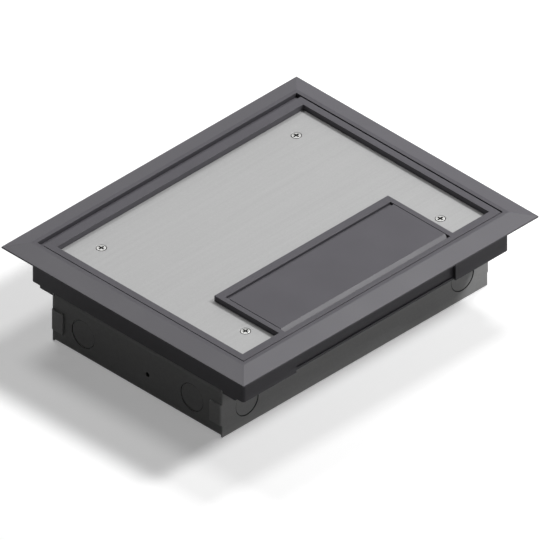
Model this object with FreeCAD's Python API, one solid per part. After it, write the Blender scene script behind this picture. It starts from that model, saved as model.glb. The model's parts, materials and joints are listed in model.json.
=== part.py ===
import FreeCAD, Part
import math
import os

V = FreeCAD.Vector

# Driving dimensions, in millimetres. X runs along the long side, the lid hinges at the +Y side,
# Z is up, and the origin is under the middle of the box, on the face that it stands on.
# The box is as large as its accessory plates need, and the rest follows from the box.

# Accessory plates, three across, on rails along the side plates
plate_length = 185.0
plate_width = 89.0
plate_gap = 4.0
plate_end_gap = 2.0
plate_side_gap = 11.0
plate_steel = 1.6
plate_top = 37.5
plate_corner = 3.0
plate_screw_inset_x = 6.5
plate_screw_inset_y = 4.2
plate_screw_grip = 6.0
rail_width = 11.0
rail_leg = 8.1

# Steel box
floor_height = 78.0
sheet = 1.5
base_bend = 3.5
top_bend = 4.0
end_return = 9.0
tab_height = 19.5
tab_reach = 13.0
tab_base = 12.0
tab_bend = 1.8
side_hole_radius = 2.25
side_hole_y = -11.3
side_hole_z = 19.5
base_hole_radius = 2.75
base_hole_inset_x = 18.0
base_hole_inset_y = 30.0

# Knockouts for 25 mm conduit
knockout_radius = 12.75
end_knockout_inset = 34.5
end_knockout_z = 22.5
side_knockout_inset = 28.2
side_knockout_z = 21.3

# Frame: trim that rests on the floor, skirt that fills the cut-out, ledge for the lid
skirt_step = 24.0
skirt_depth = 32.0
skirt_wall = 3.3
skirt_corner = 2.5
trim_overhang = 17.0
trim_edge = 1.3
trim_height = 5.5
lip_width = 3.6
trim_groove_inset = 5.0
trim_groove_width = 8.0
trim_groove_depth = 1.2
recess_length = 180.0
ledge_width = 6.0
ledge_depth = 9.8
moulding_wall = 2.4
pad_reach = 14.2
gusset_wall = 2.0
gusset_reach = 8.0
gusset_count = 4
gusset_pitch = 70.0

# Screws that hold the frame on the side plates
frame_screw_offset = 7.0
frame_screw_inset = 22.0
frame_screw_grip = 2.0
lug_width = 15.0
lug_reach = 12.0
m4_radius = 1.95
m4_head_radius = 3.6
m4_head_height = 2.2
m4_head_chamfer = 0.9

# Floor clamps
clamp_inset = 15.0
clamp_offset = 5.3
clamp_screw_radius = 2.0
clamp_head_radius = 4.0
clamp_head_height = 3.0
clamp_screw_tip = 33.0
jaw_length = 35.0
jaw_width = 9.0
jaw_thickness = 4.0
jaw_corner = 3.5
jaw_travel = 3.6

# Lid: moulded surround with a steel plate sunk in it for the floor covering
lid_drop = 0.35
lid_side_border = 6.35
lid_front_border = 7.35
lid_rear_border = 9.0
lid_rear_gap = 5.8
lid_below_floor = 7.5
lid_corner = 1.0
tray_depth = 5.0
plate_thickness = 2.5
tray_floor = 2.5
lid_rib = 2.0
lid_rib_pitch = 34.0
hinge_pin_radius = 1.5
hinge_pin_seat = 2.6
hinge_pin_reach = 5.6
hinge_pin_inset = 2.65
hinge_pin_z = 0.5
hinge_flange_reach = 5.2
hinge_flange_drop = 3.3
hinge_flange_thickness = 2.2
hinge_core_drop = 4.0
lid_core_width = 2.4
lid_core_depth = 9.0

# Countersunk screws of the lid plate
lid_screw_offset = 12.0
lid_screw_rear_inset = 21.3
lid_screw_front_inset = 25.95
lid_screw_stop = 1.0
csk_head_radius = 4.65
m5_radius = 2.45
lid_boss_radius = 5.5
cross_width = 1.3
cross_span = 5.4
cross_depth = 1.4

# Cable outlet flap
flap_side_inset = 45.95
flap_front_border = 5.2
flap_opening_width = 67.6
flap_rim_side = 4.85
flap_rim_rear = 7.7
flap_rear_gap = 4.2
flap_thickness = 6.0
flap_skin = 2.2
flap_wall = 2.0
flap_cells = 4
flap_bevel_width = 5.0
flap_bevel_drop = 3.8
flap_flange_drop = 1.9
flap_flange_thickness = 1.8
flap_flange_reach = 3.8
flap_pin_radius = 1.2
flap_pin_inset = 5.85
flap_pin_z = 2.4
flap_pin_end = 3.5
flap_ledge_width = 3.0
flap_ledge_thickness = 2.5

# Seal under the lid
seal_inset = 1.0
seal_width = 4.0
seal_height = 2.0

# Dividers between the compartments, each with a window for cables
divider_sheet = 1.2
divider_top = 43.5
divider_foot = 10.0
divider_sill = 2.0
divider_window_length = 46.0
divider_window_height = 12.0

# Twin switched socket
socket_length = 150.0
socket_width = 60.0
socket_rim = 3.0
socket_face = 2.0
socket_depth = 23.5
outlet_inset = 27.0
pin_spacing = 22.2
earth_slot = (4.4, 8.6)
line_slot = (6.8, 4.4)
slot_depth = 18.0
terminal_size = 9.0
terminal_height = 6.3
terminal_bore_radius = 2.2
terminal_bore_drop = 3.6
terminal_pitch = 60.0
rocker_x = 12.0
rocker_length = 19.6
rocker_width = 11.0
rocker_depth = 4.5
rocker_rise = 2.2
rocker_dish = 0.3
rocker_edge = 1.0
rocker_heel = 5.9
rocker_axis_depth = 2.0
rocker_tilt = 7.0
rocker_trunnion_radius = 1.5
rocker_trunnion_length = 1.6
rocker_pocket_depth = 9.0

# Data outlets
data_count = 4
data_end_gap = 4.5
data_face_width = 25.0
data_face_length = 38.0
data_face = 1.6
data_shoulder = 1.5
data_depth = 24.0
jack_width = 11.8
jack_height = 6.9
jack_depth = 14.0
latch_width = 6.0
latch_height = 2.6

# Earth terminal on the base
earth_inset = 12.5
earth_stud_radius = 2.5
earth_stud_length = 12.0
earth_nut_flats = 8.0
earth_nut_height = 4.0

# Clearances
loose = 0.3
running = 0.06
slip = 0.1
lid_gap = 1.0
flap_gap = 0.5
punch_gap = 0.3
punch_set = 0.5

# How near two edges lie that count as one
touch = 0.01

# How far a cutter runs past the face that it cuts, or a joined piece into its neighbour
margin = 1.0

# Sizes, heights and places that follow from the dimensions above
inner_x = 1.5 * plate_width + plate_gap + plate_side_gap
inner_y = plate_length / 2 + plate_end_gap
box_length = 2 * (inner_x + sheet)
box_width = 2 * (inner_y + sheet)
skirt_width = box_width + 2 * skirt_step
box_top = floor_height - skirt_depth
lip_top = floor_height + trim_height
lid_top = lip_top - lid_drop
lid_bottom = floor_height - lid_below_floor
ledge_top = floor_height - ledge_depth
ledge_bottom = ledge_top - moulding_wall
opening_length = box_length - 2 * skirt_wall
opening_width = skirt_width - 2 * skirt_wall
lid_half_x = opening_length / 2 - lid_gap
lid_front = -opening_width / 2 + lid_gap
lid_rear = opening_width / 2 - lid_rear_gap
tray_half_x = lid_half_x - lid_side_border
tray_front = lid_front + lid_front_border
tray_rear = lid_rear - lid_rear_border
steel_top = lid_top - tray_depth
steel_bottom = steel_top - plate_thickness
tray_bottom = steel_bottom - tray_floor
hinge_z = floor_height + hinge_pin_z
flap_axis_z = floor_height + flap_pin_z
hinge_pin_y = lid_rear - hinge_pin_inset
flap_opening_x = tray_half_x - flap_side_inset
flap_opening_front = lid_front + flap_front_border
flap_opening_rear = flap_opening_front + flap_opening_width
flap_pin_y = flap_opening_rear - flap_pin_inset
rim_half_x = flap_opening_x + flap_rim_side
rim_rear = flap_opening_rear + flap_rim_rear
lid_screw_x = rim_half_x + lid_screw_offset
lid_screw_front_y = tray_front + lid_screw_front_inset
lid_screw_rear_y = tray_rear - lid_screw_rear_inset
flap_bottom = lid_top - flap_thickness
flap_half_x = flap_opening_x - flap_gap
flap_front = flap_opening_front + flap_gap
flap_rear = flap_opening_rear - flap_rear_gap
plate_spacing = plate_width + plate_gap
plate_screw_x = plate_width / 2 - plate_screw_inset_x
plate_screw_y = plate_length / 2 - plate_screw_inset_y
plate_bottom = plate_top - plate_steel
rail_bottom = plate_bottom - sheet
pad_inner = box_width / 2 + loose
pad_bottom = box_top - moulding_wall
flange_top = box_top + moulding_wall
base_hole_x = box_length / 2 - base_hole_inset_x
base_hole_y = box_width / 2 - base_hole_inset_y
end_knockout_y = box_width / 2 - end_knockout_inset
side_knockout_x = box_length / 2 - side_knockout_inset
frame_screw_x = box_length / 2 - frame_screw_inset
frame_screw_y = box_width / 2 + frame_screw_offset
frame_screw_places = (-frame_screw_x, 0.0, frame_screw_x)
clamp_x = recess_length / 2 - clamp_inset
clamp_y = box_width / 2 + clamp_offset
earth_y = inner_y - earth_inset
socket_top = plate_top + socket_face
outlet_y = socket_length / 2 - outlet_inset
rocker_axis_z = socket_top - rocker_axis_depth
data_pitch = (plate_length - 2 * data_end_gap) / data_count


# Shape helpers

def block(x0, x1, y0, y1, z0, z1):
    return Part.makeBox(x1 - x0, y1 - y0, z1 - z0, V(x0, y0, z0))


def slab(half_x, half_y, z0, z1):
    return block(-half_x, half_x, -half_y, half_y, z0, z1)


def rod(radius, start, end):
    direction = end - start
    return Part.makeCylinder(radius, direction.Length, start, direction)


def upright(radius, x, y, z0, z1):
    return rod(radius, V(x, y, z0), V(x, y, z1))


def fuse(shapes):
    return shapes[0].multiFuse(shapes[1:]).removeSplitter()


def mirror_x(shape):
    return shape.mirror(V(0, 0, 0), V(1, 0, 0))


def mirror_y(shape):
    return shape.mirror(V(0, 0, 0), V(0, 1, 0))


def both_sides(shape, mirrored):
    return [shape, mirrored(shape)]


def turn_axis(points, x, y):
    outline = [V(x + radius, y, z) for radius, z in points]
    face = Part.Face(Part.makePolygon(outline + [outline[0]]))
    return face.revolve(V(x, y, 0), V(0, 0, 1), 360)


def edges_along(shape, axis):
    found = []
    for edge in shape.Edges:
        if edge.Curve.TypeId != "Part::GeomLine":
            continue
        if abs(edge.tangentAt(edge.FirstParameter).dot(axis)) > 0.999:
            found.append(edge)
    return found


def round_uprights(shape, radius):
    return shape.makeFillet(radius, edges_along(shape, V(0, 0, 1)))


def section_along_x(points, x0, x1):
    outline = [V(x0, y, z) for y, z in points]
    face = Part.Face(Part.makePolygon(outline + [outline[0]]))
    return face.extrude(V(x1 - x0, 0, 0))


def group(shapes):
    return Part.makeCompound(shapes)


def pan_screw(x, y, seat, tip):
    head = upright(m4_head_radius, x, y, seat, seat + m4_head_height)
    rim = [edge for edge in head.Edges if edge.BoundBox.ZMin > seat + m4_head_height / 2]
    head = head.makeChamfer(m4_head_chamfer, rim)
    shank = upright(m4_radius, x, y, tip, seat)
    screw = fuse([head, shank])
    return screw.cut(cross_recess(x, y, seat + m4_head_height, m4_head_radius))


def cross_recess(x, y, top, span):
    half = cross_width / 2
    floor = top - cross_depth
    along = block(x - span / 2, x + span / 2, y - half, y + half, floor, top + margin)
    across = block(x - half, x + half, y - span / 2, y + span / 2, floor, top + margin)
    return fuse([along, across])


# Steel box

def folded_channel(half_x, z0, z1, base_radius, top_radius, half_y):
    body = slab(half_x, half_y, z0, z1)
    low = [edge for edge in edges_along(body, V(0, 1, 0)) if edge.BoundBox.ZMax < (z0 + z1) / 2]
    body = body.makeFillet(base_radius, low)
    high = [edge for edge in edges_along(body, V(0, 1, 0)) if edge.BoundBox.ZMin > z1 - touch]
    return body.makeFillet(top_radius, high)


def end_knockouts(radius):
    reach = box_length / 2 + margin
    cutters = []
    for y in (-end_knockout_y, end_knockout_y):
        cutters.append(rod(radius, V(-reach, y, end_knockout_z), V(reach, y, end_knockout_z)))
    return cutters


def side_knockouts(radius):
    reach = box_width / 2 + margin
    cutters = []
    for x in (-side_knockout_x, side_knockout_x):
        cutters.append(rod(radius, V(x, -reach, side_knockout_z), V(x, reach, side_knockout_z)))
    return cutters


def make_box_wrapper():
    past_y = inner_y + margin
    outer = folded_channel(box_length / 2, 0, box_top, base_bend, top_bend, inner_y)
    inner = folded_channel(inner_x, sheet, box_top - sheet, base_bend - sheet, top_bend - sheet, past_y)
    mouth = slab(box_length / 2 - end_return, past_y, box_top - 2 * sheet, box_top + margin)
    start = V(-box_length / 2 - margin, side_hole_y, side_hole_z)
    end = V(box_length / 2 + margin, side_hole_y, side_hole_z)
    cutters = [inner, mouth, rod(side_hole_radius, start, end)] + end_knockouts(knockout_radius)
    for x in (-base_hole_x, base_hole_x):
        for y in (-base_hole_y, base_hole_y):
            cutters.append(upright(base_hole_radius, x, y, -margin, sheet + margin))
    return outer.cut(cutters)


def corner_tab():
    outer_x = box_length / 2 + loose + sheet
    front = -box_width / 2
    tab_top = tab_base + tab_height
    wrap = block(-outer_x, -outer_x + sheet, front, front + tab_reach, tab_base, tab_top)
    link = block(-outer_x, -inner_x, front, -inner_y, tab_base, tab_top)
    tab = fuse([wrap, link])
    corner = [
        edge for edge in edges_along(tab, V(0, 0, 1))
        if edge.BoundBox.XMax < -outer_x + touch and edge.BoundBox.YMax < front + touch
    ]
    return tab.makeFillet(tab_bend, corner)


def make_side_plate_front():
    plate = block(-box_length / 2, box_length / 2, -box_width / 2, -inner_y, 0, box_top)
    lugs = []
    holes = side_knockouts(knockout_radius)
    for x in frame_screw_places:
        lug = block(
            x - lug_width / 2, x + lug_width / 2,
            -box_width / 2 - lug_reach, -inner_y,
            pad_bottom - sheet, pad_bottom,
        )
        lugs.append(lug)
        holes.append(upright(m4_radius + running, x, -frame_screw_y, 0, box_top))
    tab = corner_tab()
    return fuse([plate] + lugs + both_sides(tab, mirror_x)).cut(holes)


def make_knockout_discs():
    radius = knockout_radius - punch_gap
    discs = []
    for x in (-box_length / 2 + punch_set, inner_x - punch_set):
        for y in (-end_knockout_y, end_knockout_y):
            discs.append(rod(radius, V(x, y, end_knockout_z), V(x + sheet, y, end_knockout_z)))
    for y in (-box_width / 2 + punch_set, inner_y - punch_set):
        for x in (-side_knockout_x, side_knockout_x):
            discs.append(rod(radius, V(x, y, side_knockout_z), V(x, y + sheet, side_knockout_z)))
    return group(discs)


def make_rail_front():
    half = inner_x - top_bend
    outline = [
        (-inner_y, rail_bottom),
        (-inner_y + rail_width, rail_bottom),
        (-inner_y + rail_width, plate_bottom),
        (-inner_y + sheet, plate_bottom),
        (-inner_y + sheet, plate_bottom + rail_leg),
        (-inner_y, plate_bottom + rail_leg),
    ]
    rail = section_along_x(outline, -half, half)
    low = rail_bottom - margin
    high = plate_bottom + margin
    holes = []
    for centre in (-plate_spacing, 0.0, plate_spacing):
        for x in (centre - plate_screw_x, centre + plate_screw_x):
            holes.append(upright(m4_radius + running, x, -plate_screw_y, low, high))
    return rail.cut(holes)


def make_divider(side):
    x = side * plate_spacing / 2
    half_y = inner_y - loose
    web = block(x - divider_sheet / 2, x + divider_sheet / 2, -half_y, half_y, sheet, divider_top)
    foot = block(x - divider_sheet / 2, x + divider_foot, -half_y, half_y, sheet, sheet + divider_sheet)
    notch_y = inner_y - rail_width - loose
    notch_z = rail_bottom - loose
    window_base = sheet + divider_sheet + divider_sill
    front_notch = block(
        x - divider_sheet, x + divider_sheet,
        -half_y - margin, -notch_y,
        notch_z, divider_top + margin,
    )
    window = block(
        x - divider_sheet, x + divider_sheet,
        -divider_window_length / 2, divider_window_length / 2,
        window_base, window_base + divider_window_height,
    )
    return fuse([web, foot]).cut([front_notch, mirror_y(front_notch), window])


def make_earth_stud():
    return upright(earth_stud_radius, 0, earth_y, sheet, sheet + earth_stud_length)


def make_earth_nut():
    radius = earth_nut_flats / math.sqrt(3)
    corners = []
    for step in range(6):
        angle = math.radians(60 * step)
        corners.append(V(radius * math.cos(angle), earth_y + radius * math.sin(angle), sheet))
    nut = Part.Face(Part.makePolygon(corners + [corners[0]])).extrude(V(0, 0, earth_nut_height))
    return nut.cut(upright(earth_stud_radius + running, 0, earth_y, 0, sheet + earth_nut_height + margin))


# Frame

def ring(outer_x, outer_y, hole_x, hole_y, z0, z1):
    return slab(outer_x, outer_y, z0, z1).cut(slab(hole_x, hole_y, z0 - margin, z1 + margin))


def rectangle(half_x, half_y, z):
    turns = ((-1, -1), (1, -1), (1, 1), (-1, 1), (-1, -1))
    return Part.makePolygon([V(x * half_x, y * half_y, z) for x, y in turns])


def make_trim():
    outer_x = box_length / 2 + trim_overhang
    outer_y = skirt_width / 2 + trim_overhang
    lip_x = opening_length / 2 + lip_width
    lip_y = opening_width / 2 + lip_width
    edge_top = floor_height + trim_edge
    foot = rectangle(outer_x, outer_y, edge_top)
    crest = rectangle(lip_x, lip_y, lip_top)
    slope = Part.makeLoft([foot, crest], True, True)
    edge = slab(outer_x, outer_y, floor_height, edge_top)
    groove_x = outer_x - trim_groove_inset
    groove_y = outer_y - trim_groove_inset
    groove = ring(
        groove_x, groove_y,
        groove_x - trim_groove_width, groove_y - trim_groove_width,
        floor_height - margin, floor_height + trim_groove_depth,
    )
    opening = slab(opening_length / 2, opening_width / 2, floor_height - margin, lip_top + margin)
    return fuse([edge, slope]).cut([opening, groove])


def make_skirt():
    outer = round_uprights(slab(box_length / 2, skirt_width / 2, box_top, floor_height), skirt_corner)
    walls = outer.cut(slab(opening_length / 2, opening_width / 2, box_top - margin, floor_height + margin))
    recess = block(
        -recess_length / 2, recess_length / 2,
        -skirt_width / 2 - margin, -opening_width / 2,
        box_top - margin, ledge_bottom,
    )
    walls = walls.cut([recess, mirror_y(recess)])
    jog = block(
        -recess_length / 2 - skirt_wall, recess_length / 2 + skirt_wall,
        -opening_width / 2, -opening_width / 2 + skirt_wall,
        box_top, ledge_bottom,
    )
    return fuse([walls, jog, mirror_y(jog)])


def gusset(x):
    wall_y = -opening_width / 2
    if abs(x) < recess_length / 2:
        wall_y = wall_y + skirt_wall
    outline = [(wall_y, flange_top), (wall_y + gusset_reach, flange_top), (wall_y, ledge_bottom)]
    return section_along_x(outline, x - gusset_wall / 2, x + gusset_wall / 2)


def frame_bores():
    low = pad_bottom - margin
    high = flange_top + margin
    bores = []
    for x in frame_screw_places:
        for y in (-frame_screw_y, frame_screw_y):
            bores.append(upright(m4_radius + slip, x, y, low, high))
    for x in (-clamp_x, clamp_x):
        for y in (-clamp_y, clamp_y):
            bores.append(upright(clamp_screw_radius + slip, x, y, low, high))
    reach = opening_length / 2 + hinge_pin_seat + slip
    start = V(-reach, hinge_pin_y, hinge_z)
    end = V(reach, hinge_pin_y, hinge_z)
    bores.append(rod(hinge_pin_radius + running, start, end))
    return bores


def make_frame():
    half_x = opening_length / 2
    half_y = opening_width / 2
    past_x = half_x + margin
    past_y = half_y + margin
    ledge = ring(past_x, past_y, half_x - ledge_width, half_y - ledge_width, ledge_bottom, ledge_top)
    flange = ring(past_x, past_y, box_length / 2 - end_return, inner_y, box_top, flange_top)
    pad = block(-box_length / 2, box_length / 2, -pad_inner - pad_reach, -pad_inner, pad_bottom, box_top)
    gussets = [gusset((step - (gusset_count - 1) / 2) * gusset_pitch) for step in range(gusset_count)]
    pieces = [make_trim(), make_skirt(), ledge, flange, pad, mirror_y(pad)]
    pieces += gussets + [mirror_y(piece) for piece in gussets]
    return fuse(pieces).cut(frame_bores())


def make_hinge_pins():
    inner = lid_half_x - hinge_pin_reach
    outer = opening_length / 2 + hinge_pin_seat
    pin = rod(hinge_pin_radius, V(inner, hinge_pin_y, hinge_z), V(outer, hinge_pin_y, hinge_z))
    return group(both_sides(pin, mirror_x))


def make_lid_seal():
    top = lid_bottom - loose
    outer_x = opening_length / 2 - seal_inset
    outer_y = opening_width / 2 - seal_inset
    past_x = outer_x + margin
    strip = ring(outer_x, outer_y, outer_x - seal_width, outer_y - seal_width, top - seal_height, top)
    rear = block(-past_x, past_x, hinge_pin_y - seal_width, outer_y + margin, 0, lip_top)
    return strip.cut(rear)


def make_frame_screws():
    tip = pad_bottom - sheet - frame_screw_grip
    screws = []
    for x in frame_screw_places:
        for y in (-frame_screw_y, frame_screw_y):
            screws.append(pan_screw(x, y, flange_top, tip))
    return group(screws)


# Floor clamps

def make_clamp_screw(x, y):
    seat = flange_top + loose / 2
    head = upright(clamp_head_radius, x, y, seat, seat + clamp_head_height)
    shank = upright(clamp_screw_radius, x, y, clamp_screw_tip, seat)
    return fuse([head, shank]).cut(cross_recess(x, y, seat + clamp_head_height, clamp_head_radius))


def make_clamp_jaw(x, y):
    towards = -1 if y > 0 else 1
    top = pad_bottom - loose - jaw_travel
    heel = jaw_width / 2
    ends = sorted((x - towards * heel, x + towards * (jaw_length - heel)))
    jaw = block(ends[0], ends[1], y - jaw_width / 2, y + jaw_width / 2, top - jaw_thickness, top)
    jaw = round_uprights(jaw, jaw_corner)
    return jaw.cut(upright(clamp_screw_radius + slip, x, y, 0, box_top))


# Lid

def lid_border():
    outer = block(-lid_half_x, lid_half_x, lid_front, lid_rear, lid_bottom, lid_top)
    outer = round_uprights(outer, lid_corner)
    tray = block(-tray_half_x, tray_half_x, tray_front, tray_rear, lid_bottom - margin, lid_top + margin)
    return outer.cut(tray)


def lid_ribs():
    ribs = []
    half = lid_rib / 2
    past_x = tray_half_x + margin
    past_y = tray_rear + margin
    count = int(tray_half_x // lid_rib_pitch)
    for step in range(-count, count + 1):
        x = step * lid_rib_pitch
        front = rim_rear if abs(x) < rim_half_x + lid_rib else tray_front
        ribs.append(block(x - half, x + half, front - margin, past_y, lid_bottom, tray_bottom))
    y = rim_rear + lid_rib_pitch
    while y < tray_rear - lid_rib:
        ribs.append(block(-past_x, past_x, y - half, y + half, lid_bottom, tray_bottom))
        y += lid_rib_pitch
    return ribs


def lid_screw_places():
    places = []
    for y in (lid_screw_front_y, lid_screw_rear_y):
        places.append((-lid_screw_x, y))
        places.append((lid_screw_x, y))
    return places


def make_lid_frame():
    past_x = tray_half_x + margin
    floor = block(-past_x, past_x, tray_front - margin, tray_rear + margin, tray_bottom, steel_bottom)
    rim = block(-rim_half_x, rim_half_x, lid_front + margin, rim_rear, lid_bottom, lid_top)
    flange_z = lip_top - hinge_flange_drop
    flange = block(
        -lid_half_x, lid_half_x,
        lid_rear - margin, lid_rear + hinge_flange_reach,
        flange_z - hinge_flange_thickness, flange_z,
    )
    bosses = [upright(lid_boss_radius, x, y, lid_bottom, tray_bottom) for x, y in lid_screw_places()]
    body = fuse([lid_border(), floor, rim, flange] + lid_ribs() + bosses)
    well = block(
        -flap_opening_x, flap_opening_x,
        flap_opening_front, flap_opening_rear,
        lid_bottom - margin, lid_top + margin,
    )
    body = body.cut([well] + lid_cores())
    ledges = flap_ledges()
    body = fuse([body] + ledges)
    return body.cut(lid_frame_holes())


def flap_ledges():
    top = flap_bottom - loose
    low = top - flap_ledge_thickness
    rear = flap_pin_y - flap_thickness
    past_front = flap_opening_front - margin
    side = block(flap_opening_x - flap_ledge_width, flap_opening_x + margin, past_front, rear, low, top)
    front = block(
        -flap_opening_x, flap_opening_x,
        past_front, flap_opening_front + flap_ledge_width,
        low, top,
    )
    return both_sides(side, mirror_x) + [front]


def lid_cores():
    middle = lid_half_x - lid_side_border / 2
    side = block(
        middle - lid_core_width / 2, middle + lid_core_width / 2,
        lid_front + lid_core_width, tray_rear - lid_core_width,
        lid_bottom - margin, lid_bottom + lid_core_depth,
    )
    rear = block(
        -lid_half_x - margin, lid_half_x + margin,
        hinge_pin_y - hinge_pin_radius, lid_rear + margin,
        lid_bottom - margin, floor_height - hinge_core_drop,
    )
    return both_sides(side, mirror_x) + [rear]


def lid_frame_holes():
    holes = []
    for x, y in lid_screw_places():
        holes.append(upright(m5_radius + running, x, y, lid_bottom - margin, lid_top))
    start = V(lid_half_x - hinge_pin_reach - loose, hinge_pin_y, hinge_z)
    end = V(lid_half_x + margin, hinge_pin_y, hinge_z)
    hinge_bore = rod(hinge_pin_radius + running, start, end)
    start = V(-flap_opening_x - flap_pin_end, flap_pin_y, flap_axis_z)
    end = V(rim_half_x + margin, flap_pin_y, flap_axis_z)
    flap_bore = rod(flap_pin_radius + running, start, end)
    return holes + both_sides(hinge_bore, mirror_x) + [flap_bore]


def make_lid_plate():
    plate = block(
        -tray_half_x + loose / 2, tray_half_x - loose / 2,
        tray_front + loose / 2, tray_rear - loose / 2,
        steel_bottom, steel_top,
    )
    notch = block(
        -rim_half_x - loose / 2, rim_half_x + loose / 2,
        tray_front - margin, rim_rear + loose / 2,
        steel_bottom - margin, steel_top + margin,
    )
    drop = csk_head_radius - m5_radius
    sinks = []
    for x, y in lid_screw_places():
        outline = [
            (0, steel_top + margin),
            (csk_head_radius + slip, steel_top + margin),
            (csk_head_radius + slip, steel_top),
            (m5_radius + slip, steel_top - drop),
            (m5_radius + slip, steel_bottom - margin),
            (0, steel_bottom - margin),
        ]
        sinks.append(turn_axis(outline, x, y))
    return plate.cut([notch] + sinks)


def make_lid_screws():
    screws = []
    drop = csk_head_radius - m5_radius
    for x, y in lid_screw_places():
        outline = [
            (0, steel_top),
            (csk_head_radius, steel_top),
            (m5_radius, steel_top - drop),
            (m5_radius, lid_bottom + lid_screw_stop),
            (0, lid_bottom + lid_screw_stop),
        ]
        screws.append(turn_axis(outline, x, y).cut(cross_recess(x, y, steel_top, cross_span)))
    return group(screws)


# Cable outlet flap

def make_flap():
    flange_z = lid_top - flap_flange_drop
    outline = [
        (flap_front, flap_bottom),
        (flap_rear, flap_bottom),
        (flap_rear, flange_z - flap_flange_thickness),
        (flap_rear + flap_flange_reach, flange_z - flap_flange_thickness),
        (flap_rear + flap_flange_reach, flange_z),
        (flap_rear, flange_z),
        (flap_rear, lid_top),
        (flap_front + flap_bevel_width, lid_top),
        (flap_front, lid_top - flap_bevel_drop),
    ]
    body = section_along_x(outline, -flap_half_x, flap_half_x)
    hollow_front = flap_front + flap_bevel_width
    hollow_rear = flap_pin_y - 2 * flap_pin_radius
    cell = (2 * flap_half_x - flap_wall) / flap_cells
    hollows = []
    for step in range(flap_cells):
        left = -flap_half_x + flap_wall + step * cell
        right = left + cell - flap_wall
        hollow = block(left, right, hollow_front, hollow_rear, flap_bottom - margin, lid_top - flap_skin)
        hollows.append(hollow)
    bore = rod(
        flap_pin_radius + running,
        V(-flap_half_x - margin, flap_pin_y, flap_axis_z),
        V(flap_half_x + margin, flap_pin_y, flap_axis_z),
    )
    return body.cut(hollows + [bore])


def make_flap_pin():
    start = V(-flap_opening_x - flap_pin_end + loose, flap_pin_y, flap_axis_z)
    end = V(rim_half_x - loose, flap_pin_y, flap_axis_z)
    return rod(flap_pin_radius, start, end)


# Accessory plates and outlets

def accessory_plate(x):
    plate = block(
        x - plate_width / 2, x + plate_width / 2,
        -plate_length / 2, plate_length / 2,
        plate_bottom, plate_top,
    )
    plate = round_uprights(plate, plate_corner)
    holes = []
    for dx in (-plate_screw_x, plate_screw_x):
        for y in (-plate_screw_y, plate_screw_y):
            holes.append(upright(m4_radius + slip, x + dx, y, plate_bottom - margin, plate_top + margin))
    return plate.cut(holes)


def make_socket_plate(x):
    opening = block(
        x - socket_width / 2, x + socket_width / 2,
        -socket_length / 2, socket_length / 2,
        plate_bottom - margin, plate_top + margin,
    )
    return accessory_plate(x).cut(opening)


def data_centres():
    return [(step - (data_count - 1) / 2) * data_pitch for step in range(data_count)]


def make_data_plate(x):
    openings = []
    half_x = data_face_width / 2 - data_shoulder
    half_y = data_face_length / 2 - data_shoulder
    for y in data_centres():
        opening = block(
            x - half_x, x + half_x,
            y - half_y, y + half_y,
            plate_bottom - margin, plate_top + margin,
        )
        openings.append(opening)
    return accessory_plate(x).cut(openings)


def make_plate_screws():
    screws = []
    for centre in (-plate_spacing, 0.0, plate_spacing):
        for dx in (-plate_screw_x, plate_screw_x):
            for y in (-plate_screw_y, plate_screw_y):
                screws.append(pan_screw(centre + dx, y, plate_top, plate_top - plate_screw_grip))
    return group(screws)


def outlet_slots(x, y):
    half_pitch = pin_spacing / 2
    places = [(x, y + half_pitch, earth_slot)]
    places += [(x - half_pitch, y - half_pitch, line_slot), (x + half_pitch, y - half_pitch, line_slot)]
    slots = []
    for slot_x, slot_y, (length, width) in places:
        slot = block(
            slot_x - length / 2, slot_x + length / 2,
            slot_y - width / 2, slot_y + width / 2,
            socket_top - slot_depth, socket_top + margin,
        )
        slots.append(slot)
    return slots


def rocker_places(x):
    return (x - rocker_x, x + rocker_x)


def rocker_pocket(x):
    half_x = rocker_width / 2 + loose
    half_y = rocker_length / 2 + 3 * loose
    reach = rocker_width / 2 + rocker_trunnion_length + loose
    floor = socket_top - rocker_pocket_depth
    pocket = block(x - half_x, x + half_x, -half_y, half_y, floor, socket_top + margin)
    start = V(x - reach, 0, rocker_axis_z)
    end = V(x + reach, 0, rocker_axis_z)
    return [pocket, rod(rocker_trunnion_radius + running, start, end)]


def make_twin_socket(x):
    face = block(
        x - socket_width / 2 - socket_rim, x + socket_width / 2 + socket_rim,
        -socket_length / 2 - socket_rim, socket_length / 2 + socket_rim,
        plate_top, socket_top,
    )
    face = round_uprights(face, socket_rim)
    top_edges = [edge for edge in face.Edges if edge.BoundBox.ZMin > socket_top - touch]
    face = face.makeChamfer(socket_face / 2, top_edges)
    body = block(
        x - socket_width / 2 + slip, x + socket_width / 2 - slip,
        -socket_length / 2 + slip, socket_length / 2 - slip,
        plate_top - socket_depth, plate_top,
    )
    cutters = outlet_slots(x, -outlet_y) + outlet_slots(x, outlet_y)
    for place in rocker_places(x):
        cutters += rocker_pocket(place)
    return fuse([face, body]).cut(cutters)


def make_rocker(x):
    half = rocker_length / 2
    half_x = rocker_width / 2
    low = rocker_axis_z - rocker_depth
    tip = rocker_axis_z + rocker_rise
    edge = rocker_axis_z - rocker_edge
    outline = [
        (-half, tip),
        (0, tip - rocker_dish),
        (half, tip),
        (half, edge),
        (rocker_heel, low),
        (-rocker_heel, low),
        (-half, edge),
    ]
    body = section_along_x(outline, x - half_x, x + half_x)
    reach = half_x + rocker_trunnion_length
    trunnion = rod(rocker_trunnion_radius, V(x - reach, 0, rocker_axis_z), V(x + reach, 0, rocker_axis_z))
    rocker = fuse([body, trunnion])
    rocker.rotate(V(x, 0, rocker_axis_z), V(1, 0, 0), -rocker_tilt)
    return rocker


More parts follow.
